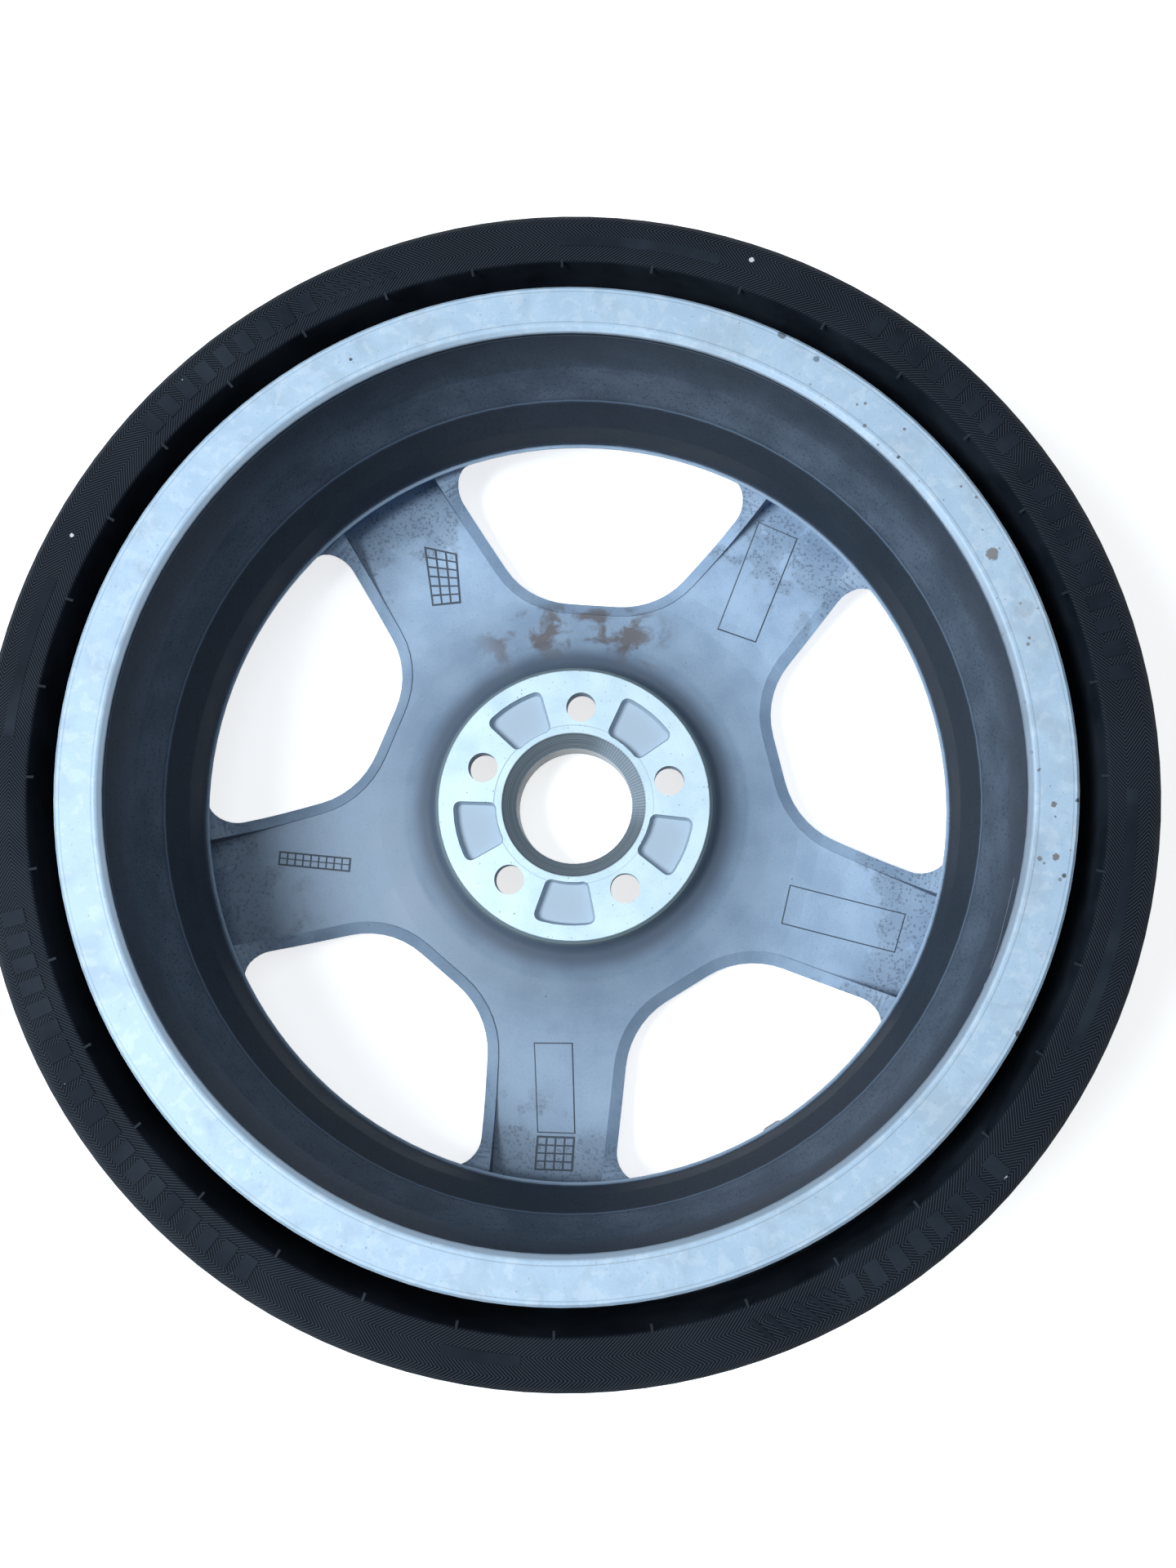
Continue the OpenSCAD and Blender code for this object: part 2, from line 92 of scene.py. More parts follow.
def blend(tree, mask, a, b, amount=1.0):
    # colour a, turning to colour b where mask is 1
    share = mask if amount == 1.0 else times(tree, mask, amount)
    node = put(tree, "Mix", {"data_type": "RGBA"}, i0=share, i6=a, i7=b)
    return node.outputs[2]


def ramp(tree, value, low, high, start=0.0, end=1.0):
    return put(tree, "MapRange", {"interpolation_type": "SMOOTHSTEP"}, Value=value, From_Min=low,
               From_Max=high, To_Min=start, To_Max=end).outputs[0]


def between(tree, value, low, high, soft=0.5):
    # 1 inside low..high, fading over soft on both sides
    up = ramp(tree, value, low - soft, low + soft)
    return times(tree, up, ramp(tree, value, high - soft, high + soft, 1.0, 0.0))


def makeGroup(name, inputs, outputs):
    group = bpy.data.node_groups.new(name, "ShaderNodeTree")
    for socketName, kind, value in inputs:
        socket = group.interface.new_socket(name=socketName, in_out="INPUT", socket_type="NodeSocket" + kind)
        socket.default_value = value
    for socketName, kind in outputs:
        group.interface.new_socket(name=socketName, in_out="OUTPUT", socket_type="NodeSocket" + kind)
    return group, group.nodes.new("NodeGroupInput").outputs, group.nodes.new("NodeGroupOutput").inputs


def useGroup(tree, group, **inputs):
    node = tree.nodes.new("ShaderNodeGroup")
    node.node_tree = group
    for key, value in inputs.items():
        connect(tree, value, node.inputs[key])
    return node.outputs


def wheelPolarGroup():
    # radius and height in mm and angle in degrees, round the wheel's axis
    group, _, result = makeGroup(
        "wheelPolar", [],
        [("Radius", "Float"), ("Angle", "Float"), ("Height", "Float"), ("Place", "Vector")])
    place = put(group, "TexCoord").outputs["Object"]
    mm = put(group, "VectorMath", {"operation": "SCALE"}, i0=place, Scale=1000.0).outputs[0]
    x, y, z = put(group, "SeparateXYZ", Vector=mm).outputs
    radius = calc(group, "SQRT", calc(group, "ADD", times(group, x, x), times(group, y, y)))
    angle = calc(group, "DEGREES", calc(group, "ARCTAN2", y, x))
    for value, name in ((radius, "Radius"), (angle, "Angle"), (z, "Height"), (mm, "Place")):
        group.links.new(value, result[name])
    return group


def specksGroup():
    # round specks at about one spacing, of which Amount are kept
    group, given, result = makeGroup(
        "specks", [("Vector", "Vector", (0, 0, 0)), ("Spacing", "Float", 5.0), ("Radius", "Float", 0.3),
                   ("Amount", "Float", 0.5)], [("Mask", "Float")])
    scaled = put(group, "VectorMath", {"operation": "DIVIDE"}, i0=given["Vector"], i1=given["Spacing"])
    cells = put(group, "TexVoronoi", {"feature": "F1"}, Vector=scaled.outputs[0], Scale=1.0).outputs
    distance = times(group, cells["Distance"], given["Spacing"])
    shade = put(group, "SeparateColor", Color=cells["Color"]).outputs
    size = times(group, given["Radius"], calc(group, "ADD", shade[1], 0.4))
    inside = calc(group, "LESS_THAN", distance, size)
    kept = calc(group, "LESS_THAN", shade[0], given["Amount"])
    group.links.new(times(group, inside, kept), result["Mask"])
    return group


def blotchesGroup():
    # patches about Size mm across that cover a share of the surface
    group, given, result = makeGroup(
        "blotches", [("Vector", "Vector", (0, 0, 0)), ("Size", "Float", 40.0), ("Cover", "Float", 0.3),
                     ("Edge", "Float", 0.08)], [("Mask", "Float")])
    scaled = put(group, "VectorMath", {"operation": "DIVIDE"}, i0=given["Vector"], i1=given["Size"])
    noise = put(group, "TexNoise", Vector=scaled.outputs[0], Scale=1.0, Detail=5.0, Roughness=0.55,
                Distortion=0.4).outputs[0]
    level = calc(group, "SUBTRACT", 0.72, times(group, given["Cover"], 0.44))
    low = calc(group, "SUBTRACT", level, given["Edge"])
    high = calc(group, "ADD", level, given["Edge"])
    group.links.new(ramp(group, noise, low, high), result["Mask"])
    return group


def castGrainGroup():
    # fine skin of a casting or moulding: its height, and a shade from 0 to 1
    group, given, result = makeGroup(
        "castGrain", [("Vector", "Vector", (0, 0, 0)), ("Size", "Float", 1.2)],
        [("Height", "Float"), ("Shade", "Float")])
    scaled = put(group, "VectorMath", {"operation": "DIVIDE"}, i0=given["Vector"], i1=given["Size"])
    fine = put(group, "TexNoise", Vector=scaled.outputs[0], Scale=1.0, Detail=3.0, Roughness=0.6).outputs[0]
    wide = put(group, "TexNoise", Vector=scaled.outputs[0], Scale=0.035, Detail=4.0,
               Roughness=0.5).outputs[0]
    mixed = calc(group, "ADD", times(group, fine, 0.35), times(group, wide, 0.65))
    group.links.new(fine, result["Height"])
    group.links.new(ramp(group, mixed, 0.36, 0.64), result["Shade"])
    return group


def spotGroup():
    # one ragged spot round a place
    group, given, result = makeGroup(
        "spot", [("Vector", "Vector", (0, 0, 0)), ("Centre", "Vector", (0, 0, 0)), ("Radius", "Float", 1.0)],
        [("Mask", "Float")])
    noise = put(group, "TexNoise", Vector=given["Vector"], Scale=1.1, Detail=2.0).outputs[0]
    distance = put(group, "VectorMath", {"operation": "DISTANCE"}, i0=given["Vector"], i1=given["Centre"])
    share = calc(group, "DIVIDE", distance.outputs["Value"], given["Radius"])
    edge = calc(group, "ADD", share, calc(group, "SUBTRACT", noise, 0.5))
    group.links.new(ramp(group, edge, 0.85, 1.1, 1.0, 0.0), result["Mask"])
    return group


polar = wheelPolarGroup()
specks = specksGroup()
blotches = blotchesGroup()
castGrain = castGrainGroup()
spot = spotGroup()
print("shared effects ready")


def polarPlace(radius, angle, height):
    turn = math.radians(angle)
    return radius * math.cos(turn), radius * math.sin(turn), height


def addSpots(tree, colour, place, spots, look):
    # spots are (radius, angle, height, size, name of a colour, strength)
    for radius, angle, height, size, kind, strength in spots:
        mask = useGroup(tree, spot, Vector=place, Centre=polarPlace(radius, angle, height), Radius=size)[0]
        colour = blend(tree, mask, colour, look[kind], strength)
    return colour


def patchMask(tree, place, size, cover, edge):
    return useGroup(tree, blotches, Vector=place, Size=size, Cover=cover, Edge=edge)[0]


def speckMask(tree, place, spacing, radius, amount):
    return useGroup(tree, specks, Vector=place, Spacing=spacing, Radius=radius, Amount=amount)[0]


rimLook = {
    "grainSize": 0.9, "bump": 0.55, "roughness": 0.52, "lacquerMetal": 0.05, "bareMetal": 0.20,
    "backDark": (0.33, 0.46, 0.64), "backLight": (0.44, 0.59, 0.78),
    "stain": 0.62, "stainAndShadeColour": (0.075, 0.100, 0.140), "padFootShade": 0.88, "stepShadeAndGrime": 0.75,
    "dishShade": 0.42, "shadeFalloffTurn": 54, "shadeFalloff": 0.38,
    "dirtColour": (0.11, 0.075, 0.05), "markAndShadeColour": (0.06, 0.07, 0.09), "lintColour": (0.35, 0.38, 0.42),
    "grey": (0.30, 0.34, 0.38), "black": (0.015, 0.016, 0.02), "white": (0.80, 0.84, 0.88),
    "barrelDark": (0.085, 0.112, 0.155), "barrelLight": (0.135, 0.172, 0.230),
    "wellShadeAndSpeckColour": (0.020, 0.027, 0.038), "lipShade": 0.50,
    "flangeDark": (0.38, 0.52, 0.67), "flangeLight": (0.47, 0.61, 0.75),
    "chamferShadeAndSpeckColour": (0.17, 0.225, 0.29), "ledgeLine": (0.46, 0.58, 0.70),
    "frontDark": (0.42, 0.45, 0.49), "frontLight": (0.50, 0.54, 0.58),
    "padDark": (0.44, 0.58, 0.67), "padLight": (0.56, 0.70, 0.77), "padSideColour": (0.20, 0.26, 0.29),
    "pocketAndGlintColour": (0.46, 0.56, 0.66), "boreDark": (0.09, 0.12, 0.14), "boreLight": (0.30, 0.36, 0.41),
}
# crumbs, chips and scuffs seen one by one on the outer edge of the rim
rimSpots = [
    (236.5, 31.4, 127.6, 3.2, "dirtColour", 0.75), (239.2, 24.0, 127.6, 4.5, "grey", 0.35),
    (236.0, 0.8, 127.6, 1.4, "dirtColour", 0.8), (239.1, -5.2, 127.6, 1.7, "dirtColour", 0.8),
    (231.7, -5.7, 127.6, 1.2, "dirtColour", 0.7), (244.1, -7.1, 127.6, 1.1, "black", 0.85),
    (247.4, -25.2, 127.2, 1.4, "black", 0.85), (247.3, 1.4, 127.2, 1.2, "black", 0.85),
    (246.8, 67.7, 127.3, 2.2, "markAndShadeColour", 0.8), (243.6, 62.8, 127.6, 1.6, "markAndShadeColour", 0.7),
    (236.6, 120.8, 127.6, 0.9, "black", 0.9), (228.7, 47.6, 127.4, 1.0, "black", 0.8),
    (224.8, -21.8, 117.7, 1.4, "white", 0.8),
]
# a scratch on the barrel wall, as (angle, height) from end to end
scratchLine = [(-8.0, 107.8), (-12.7, 108.0), (-19.6, 115.0)]

# the rim's zones as (low, high, soft) in radius and in height, mm from the axis and from the mounting face
rimBands = {
    "flange": ((224.2, 300, 0.4), (124.5, 400, 1.0)), "chamfer": ((224.0, 229.0, 0.3), (124.0, 127.3, 0.3)),
    "barrel": ((205, 232, 0.5), (1.4, 125.5, 0.5)), "well": ((205, 221, 0.6), (3.0, 52.0, 4.0)),
    "ledge": ((208.6, 211.4, 0.4), (-2.2, 1.0, 0.5)), "pad": ((0, 77.6, 0.5), (-0.5, 400, 0.25)),
    "padSide": ((77.2, 80.5, 0.5), (-6.5, 400, 1.0)), "pocket": ((42.5, 71, 0.5), (-9, -1.2, 0.4)),
    "back": ((80, 217, 2), (-31, -2, 0.5)),
}
# the same in one direction only: mm for radius and height, degrees for angles, -1 to 1 for the normal
rimRanges = {
    "bore": (20, 41.2, 0.3), "frontNormal": (-2, -0.25, 0.1), "frontHeight": (-60, -22, 2),
    "nearStain": (190, 222, 10), "farStain": (165, 222, 12), "hubRing": (78, 92, 6), "steps": (105, 217, 6),
    "dirtAngle": (68, 122, 8), "dirtRadius": (92, 122, 8),
    "lipEdge": (118.8, 119.8, 0.3), "wellEdge": (50.6, 52.0, 0.5), "scratch": (-0.22, 0.22, 0.12),
    "speckledAngle": (-12, 62, 10), "flangeFoot": (223.6, 225.0, 0.3), "litChamferArc": (30, 105, 18),
    "innerRing": (229.2, 229.7, 0.25), "outerRing": (245.2, 245.6, 0.25), "padRing": (45.2, 45.8, 0.2),
    "glintAngle": (-5, 70, 14),
}
# ragged patches as (size in mm, share covered, softness of the edge)
rimPatches = {
    "nearStain": (17.0, 0.86, 0.03), "farStain": (30.0, 0.40, 0.04), "dirt": (16.0, 0.42, 0.07),
    "flangeMarks": (26.0, 0.34, 0.12), "flangeSpeckle": (30.0, 0.62, 0.04), "flangeChalk": (7.0, 0.35, 0.05),
    "pits": (22.0, 0.62, 0.16),
}
# round specks as (spacing in mm, radius in mm, share kept)
rimDots = {"stain": (1.6, 0.75, 0.55), "speckle": (4.0, 0.7, 0.30), "pits": (2.2, 0.30, 0.40)}
# specks laid over a part's colour as (spacing, radius, share kept, name of a colour, strength)
rimSpecks = {
    "back": [(9.0, 0.45, 0.22, "markAndShadeColour", 0.8), (2.0, 0.30, 0.25, "stainAndShadeColour", 0.35)],
    "wall": [(1.5, 0.5, 0.5, "wellShadeAndSpeckColour", 0.45), (1.8, 0.35, 0.35, "lintColour", 0.22),
             (7.0, 0.24, 0.18, "lintColour", 0.5)],
    "flange": [(6.0, 0.35, 0.2, "markAndShadeColour", 0.5), (2.4, 0.40, 0.35, "chamferShadeAndSpeckColour", 0.30)],
}


def rimZones(tree, radius, height, normal):
    zones = {name: times(tree, between(tree, radius, *across), between(tree, height, *along))
             for name, (across, along) in rimBands.items()}
    zones["bore"] = between(tree, radius, *rimRanges["bore"])
    zones["front"] = times(tree, between(tree, normal, *rimRanges["frontNormal"]),
                           between(tree, height, *rimRanges["frontHeight"]))
    return zones


def makeRimMaterial(look):
    material, tree, shader = newMaterial("castAlloy")
    radius, angle, height, place = useGroup(tree, polar)
    normal = put(tree, "SeparateXYZ", Vector=put(tree, "TexCoord").outputs["Normal"]).outputs[2]
    grainHeight, shade = useGroup(tree, castGrain, Vector=place, Size=look["grainSize"])
    zone = rimZones(tree, radius, height, normal)

    def patches(name):
        return patchMask(tree, place, *rimPatches[name])

    def dots(name):
        return speckMask(tree, place, *rimDots[name])

    def sprinkled(under, part):
        for spacing, size, amount, kind, strength in rimSpecks[part]:
            mask = speckMask(tree, place, spacing, size, amount)
            under = blend(tree, mask, under, look[kind], strength)
        return under

    def within(value, name):
        return between(tree, value, *rimRanges[name])

    # the spokes' backs, stained towards the rim with clear patches left in the stain
    colour = blend(tree, shade, look["backDark"], look["backLight"])
    grainy = calc(tree, "ADD", 0.45, times(tree, dots("stain"), 0.55))
    ends = calc(tree, "ADD", times(tree, within(radius, "nearStain"), patches("nearStain")),
                times(tree, within(radius, "farStain"), patches("farStain")), clamp=True)
    colour = blend(tree, times(tree, ends, grainy, zone["back"]), colour, look["stainAndShadeColour"], look["stain"])
    # painted shade round the foot of the hub pad
    ring = times(tree, within(radius, "hubRing"), zone["back"])
    colour = blend(tree, ring, colour, look["stainAndShadeColour"], look["padFootShade"])
    # painted shade: the spokes' backs darken from the upper right towards the lower left
    x, y = put(tree, "SeparateXYZ", Vector=place).outputs[:2]
    turn = math.radians(look["shadeFalloffTurn"])
    across = calc(tree, "ADD", times(tree, x, math.cos(turn)), times(tree, y, math.sin(turn)))
    colour = blend(tree, ramp(tree, across, -110, 130, 1.0, 0.0), colour, look["stainAndShadeColour"], look["shadeFalloff"])
    dish = ramp(tree, radius, 88, 160, 1.0, 0.0)
    colour = blend(tree, dish, colour, look["stainAndShadeColour"], look["dishShade"])
    # painted shade and grime along the steep walls of the rib steps
    steep = ramp(tree, calc(tree, "ABSOLUTE", normal), 0.45, 0.70, 1.0, 0.0)
    steps = times(tree, steep, zone["back"], within(radius, "steps"))
    colour = blend(tree, steps, colour, look["markAndShadeColour"], look["stepShadeAndGrime"])
    # brown dirt by the top window, and a few dark marks
    dirty = times(tree, within(angle, "dirtAngle"), within(radius, "dirtRadius"))
    colour = blend(tree, times(tree, dirty, patches("dirt")), colour, look["dirtColour"], 0.75)
    colour = sprinkled(colour, "back")

    # the barrel: grainy on the wall, with painted shade darkening it towards the lip and darkest in the
    # well, and a pale bead at its foot
    wall = blend(tree, shade, look["barrelDark"], look["barrelLight"])
    wall = sprinkled(wall, "wall")
    wall = blend(tree, ramp(tree, height, 70.0, 112.0), wall, look["wellShadeAndSpeckColour"], look["lipShade"])
    wall = blend(tree, ramp(tree, height, 117.0, 119.5), wall, look["wellShadeAndSpeckColour"], look["lipShade"])
    wall = blend(tree, zone["well"], wall, look["wellShadeAndSpeckColour"], 0.8)
    worn = calc(tree, "ADD", within(height, "lipEdge"), within(height, "wellEdge"))
    wall = blend(tree, worn, wall, look["backDark"], 0.35)
    lines = []
    for (startAngle, startHeight), (endAngle, endHeight) in zip(scratchLine, scratchLine[1:]):
        slope = (endHeight - startHeight) / (endAngle - startAngle)
        level = calc(tree, "MULTIPLY_ADD", angle, slope, startHeight - slope * startAngle)
        off = calc(tree, "SUBTRACT", height, level)
        near = between(tree, angle, endAngle, startAngle, 0.1)
        lines.append(times(tree, within(off, "scratch"), near))
    wall = blend(tree, calc(tree, "ADD", lines[0], lines[1], clamp=True), wall, look["white"], 0.75)
    colour = blend(tree, zone["barrel"], colour, wall)
    colour = blend(tree, zone["ledge"], colour, look["ledgeLine"], 0.8)

    frontShade = blend(tree, shade, look["frontDark"], look["frontLight"])
    colour = blend(tree, zone["front"], colour, frontShade)
    flangeShade = blend(tree, shade, look["flangeDark"], look["flangeLight"])
    flangeShade = blend(tree, patches("flangeMarks"), flangeShade, look["markAndShadeColour"], 0.20)
    speckled = times(tree, within(angle, "speckledAngle"), dots("speckle"), patches("flangeSpeckle"))
    flangeShade = blend(tree, speckled, flangeShade, look["dirtColour"], 0.75)
    flangeShade = sprinkled(flangeShade, "flange")
    flangeShade = blend(tree, patches("flangeChalk"), flangeShade, look["white"], 0.16)
    flangeShade = blend(tree, within(radius, "flangeFoot"), flangeShade, look["markAndShadeColour"], 0.65)
    # painted shade on the flange's chamfer, mostly left off over the arc near the top, which is painted as
    # lit
    dim = calc(tree, "MULTIPLY_ADD", within(angle, "litChamferArc"), -0.75, 0.85)
    flangeShade = blend(tree, times(tree, zone["chamfer"], dim), flangeShade, look["chamferShadeAndSpeckColour"])
    rings = calc(tree, "ADD", within(radius, "innerRing"), within(radius, "outerRing"))
    flangeShade = blend(tree, rings, flangeShade, look["markAndShadeColour"], 0.35)
    colour = blend(tree, zone["flange"], colour, flangeShade)
    colour = addSpots(tree, colour, place, rimSpots, look)

    pits = times(tree, dots("pits"), patches("pits"))
    padShade = blend(tree, shade, look["padDark"], look["padLight"])
    padShade = blend(tree, pits, padShade, look["markAndShadeColour"], 0.75)
    padShade = blend(tree, within(radius, "padRing"), padShade, look["padSideColour"], 0.35)
    colour = blend(tree, zone["pad"], colour, padShade)
    colour = blend(tree, zone["padSide"], colour, look["padSideColour"])
    colour = blend(tree, zone["pocket"], colour, look["pocketAndGlintColour"])
    turned = put(tree, "TexNoise", {"noise_dimensions": "1D"}, W=radius, Scale=2.4, Detail=3.0).outputs[0]
    boreShade = blend(tree, ramp(tree, turned, 0.35, 0.65), look["boreDark"], look["boreLight"])
    # painted glints: lighter streaks on the bore over one arc
    chatter = calc(tree, "PINGPONG", calc(tree, "MULTIPLY", angle, 0.8), 1.0)
    glint = times(tree, within(angle, "glintAngle"), ramp(tree, chatter, 0.1, 0.9, 0.4, 1.0))
    boreShade = blend(tree, glint, boreShade, look["pocketAndGlintColour"], 0.8)
    colour = blend(tree, zone["bore"], colour, boreShade)
    tree.links.new(colour, shader.inputs["Base Color"])

    # bare machined metal shines, lacquer less, the barrel's rough skin least
    bare = calc(tree, "MAXIMUM", zone["pad"], zone["bore"])
    clear = calc(tree, "MAXIMUM", zone["flange"], zone["front"])
    metal = calc(tree, "MULTIPLY_ADD", bare, look["bareMetal"], times(tree, clear, look["lacquerMetal"]))
    tree.links.new(metal, shader.inputs["Metallic"])
    rough = calc(tree, "MULTIPLY_ADD", zone["barrel"], 0.15, look["roughness"])
    rough = calc(tree, "MULTIPLY_ADD", bare, -0.12, rough)
    rough = calc(tree, "MULTIPLY_ADD", calc(tree, "SUBTRACT", shade, 0.5), 0.12, rough)
    tree.links.new(rough, shader.inputs["Roughness"])
    shiny = calc(tree, "MAXIMUM", clear, calc(tree, "MAXIMUM", bare, zone["back"]))
    dull = calc(tree, "SUBTRACT", 1.0, shiny)
    tree.links.new(calc(tree, "MULTIPLY_ADD", dull, -0.40, 0.46), shader.inputs["Specular IOR Level"])

    relief = times(tree, grainHeight, calc(tree, "MULTIPLY_ADD", bare, -0.8, 1.0))
    relief = calc(tree, "MULTIPLY_ADD", times(tree, pits, zone["pad"]), -1.6, relief)
    relief = calc(tree, "MULTIPLY_ADD", times(tree, turned, bare), 0.5, relief)
    bump = put(tree, "Bump", Strength=look["bump"], Distance=0.00012, Height=relief)
    tree.links.new(bump.outputs[0], shader.inputs["Normal"])
    return material


# the tyre's fine lines: the radius in mm that turns their angle into a length, and where their zigzag folds
herringboneShape = {"meanRadius": 272, "innerRadius": 261.0, "fold": 10.0}


def herringboneGroup(shape):
    # fine raised lines that zigzag round the tyre's side bands
    group, given, result = makeGroup(
        "herringbone", [("Radius", "Float", 0.0), ("Angle", "Float", 0.0), ("Pitch", "Float", 1.9),
                        ("Slant", "Float", 1.2)], [("Ridge", "Float")])
    along = times(group, given["Angle"], math.radians(shape["meanRadius"]))
    inwards = calc(group, "SUBTRACT", given["Radius"], shape["innerRadius"])
    zigzag = calc(group, "PINGPONG", inwards, shape["fold"])
    phase = calc(group, "ADD", along, times(group, zigzag, given["Slant"]))
    wave = calc(group, "PINGPONG", calc(group, "DIVIDE", phase, given["Pitch"]), 0.5)
    group.links.new(ramp(group, wave, 0.28, 0.40), result["Ridge"])
    return group


herringbone = herringboneGroup(herringboneShape)
tyreLook = {
    "middle": 39.0, "dark": (0.006, 0.009, 0.014), "light": (0.013, 0.018, 0.027), "dust": 0.30,
    "scuff": 0.75, "dustAndSheenColour": (0.042, 0.055, 0.073), "scuffColour": (0.050, 0.062, 0.078),
    "lintColour": (0.42, 0.45, 0.48), "specular": 0.08,
    "white": (0.75, 0.78, 0.80), "ridgeSheenAndDust": 0.90, "valleyShade": (0.0015, 0.002, 0.004),
}
# the tyre's zones as (low, high, soft): radii and distance from its middle plane in mm, angles in degrees
tyreRanges = {
    "worn": (283, 300, 1.5), "rubbed": (281.5, 300, 2.0), "rubbedAngle": (-166, -104, 12),
    "lines": (262.2, 286.6, 0.4), "linesSide": (76, 100, 1),
}
tyrePatches = {"dust": (55.0, 0.40, 0.12), "worn": (14.0, 0.50, 0.10), "rubbed": (9.0, 0.85, 0.12)}
tyreLint = (9.0, 0.30, 0.10)
tyreSpots = [
    (277.8, 74.1, 126.5, 1.3, "white", 0.9), (279.2, -37.7, 126.5, 1.2, "white", 0.9),
    (274.0, 157.7, 126.5, 1.0, "white", 0.9),
]


def makeTyreMaterial(look, name, lines):
    material, tree, shader = newMaterial(name)
    radius, angle, height, place = useGroup(tree, polar)
    side = calc(tree, "ABSOLUTE", calc(tree, "SUBTRACT", height, look["middle"]))
    grainHeight, shade = useGroup(tree, castGrain, Vector=place, Size=0.7)
    colour = blend(tree, shade, look["dark"], look["light"])

    def within(value, name):
        return between(tree, value, *tyreRanges[name])

    dusty = patchMask(tree, place, *tyrePatches["dust"])
    colour = blend(tree, dusty, colour, look["dustAndSheenColour"], look["dust"])
    worn = times(tree, within(radius, "worn"), patchMask(tree, place, *tyrePatches["worn"]))
    colour = blend(tree, worn, colour, look["dustAndSheenColour"], 0.35)
    rubbed = times(tree, within(radius, "rubbed"), within(angle, "rubbedAngle"),
                   patchMask(tree, place, *tyrePatches["rubbed"]))
    colour = blend(tree, rubbed, colour, look["scuffColour"], look["scuff"])
    colour = blend(tree, speckMask(tree, place, *tyreLint), colour, look["lintColour"], 0.6)
    relief = times(tree, grainHeight, 0.25)
    if lines:
        band = times(tree, within(radius, "lines"), within(side, "linesSide"))
        ridge = times(tree, useGroup(tree, herringbone, Radius=radius, Angle=angle)[0], band)
        # painted highlight with dust on the zigzag ridges, painted shade in the grooves between them
        colour = blend(tree, ridge, colour, look["dustAndSheenColour"], look["ridgeSheenAndDust"])
        colour = blend(tree, calc(tree, "SUBTRACT", band, ridge), colour, look["valleyShade"], 0.75)
        colour = addSpots(tree, colour, place, tyreSpots, look)
        relief = calc(tree, "ADD", relief, ridge)
    tree.links.new(colour, shader.inputs["Base Color"])
    tree.links.new(calc(tree, "MULTIPLY_ADD", shade, 0.14, 0.62), shader.inputs["Roughness"])
    shader.inputs["Specular IOR Level"].default_value = look["specular"]
    bump = put(tree, "Bump", Strength=0.8, Distance=0.00035, Height=relief)
    tree.links.new(bump.outputs[0], shader.inputs["Normal"])
    return material


# name: (dark colour, light colour, metallic, roughness, spacing of the fine rings in mm)
turnedLooks = {
    "valveRubber": ((0.012, 0.012, 0.013), (0.030, 0.030, 0.033), 0.0, 0.55, 0.25),
    "turnedBrass": ((0.52, 0.37, 0.14), (0.74, 0.57, 0.27), 1.0, 0.28, 0.25),
    "gasketRed": ((0.30, 0.03, 0.025), (0.45, 0.05, 0.04), 0.0, 0.5, 0.25),
    "springWire": ((0.40, 0.41, 0.43), (0.62, 0.63, 0.65), 1.0, 0.30, 0.25),
    "capPlastic": ((0.012, 0.012, 0.013), (0.028, 0.028, 0.030), 0.0, 0.42, 0.6),
    "settledDirt": ((0.05, 0.065, 0.085), (0.10, 0.13, 0.17), 0.0, 0.8, 0.25),
}


def makeTurnedMaterial(name, dark, light, metallic, roughness, spacing):
    # the valve's small pieces, and settled dirt: fine rings along their height
    material, tree, shader = newMaterial(name)
    height, place = useGroup(tree, polar)[2:]
    rings = put(tree, "TexNoise", {"noise_dimensions": "1D"}, W=height, Scale=1 / spacing).outputs[0]
    patch = patchMask(tree, place, size=4.0, cover=0.4, edge=0.2)
    tone = calc(tree, "ADD", times(tree, rings, 0.6), times(tree, patch, 0.4))
    tree.links.new(blend(tree, tone, dark, light), shader.inputs["Base Color"])
    tree.links.new(calc(tree, "MULTIPLY_ADD", patch, 0.12, roughness), shader.inputs["Roughness"])
    shader.inputs["Metallic"].default_value = metallic
    bump = put(tree, "Bump", Strength=0.35, Distance=0.00004, Height=rings)
    tree.links.new(bump.outputs[0], shader.inputs["Normal"])
    return material


castAlloy = makeRimMaterial(rimLook)
tyreRubber = makeTyreMaterial(tyreLook, "tyreRubber", lines=True)
plainRubber = makeTyreMaterial(tyreLook, "plainTyreRubber", lines=False)
turned = {name: makeTurnedMaterial(name, *look) for name, look in turnedLooks.items()}

cadFinish = {
    "wheel_rim": castAlloy, "folded_tyre": tyreRubber, "valve_rubber_body": turned["valveRubber"],
    "valve_brass_stem": turned["turnedBrass"], "valve_core_body": turned["turnedBrass"],
    "valve_core_gasket": turned["gasketRed"], "valve_core_pin": turned["turnedBrass"],
    "valve_core_seal": turned["valveRubber"], "valve_core_spring": turned["springWire"],
    "valve_cap": turned["capPlastic"], "valve_cap_seal": turned["valveRubber"],
}
for nodeName, finish in cadFinish.items():
    slots = nodes[nodeName].material_slots
    for slot in slots:
        slot.material = finish
    if not slots:
        nodes[nodeName].data.materials.append(finish)
print("materials ready:", len(cadFinish), "solids dressed")


def finishPiece(mesh, name, material):
    # turns a bmesh in mm into an object that rides on the wheel
    bmesh.ops.recalc_face_normals(mesh, faces=mesh.faces)
    bmesh.ops.scale(mesh, vec=(0.001, 0.001, 0.001), verts=mesh.verts)
    data = bpy.data.meshes.new(name)
    mesh.to_mesh(data)
    mesh.free()
    data.materials.append(material)
    piece = bpy.data.objects.new(name, data)
    bpy.context.collection.objects.link(piece)
    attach(piece, "wheel")
    return piece


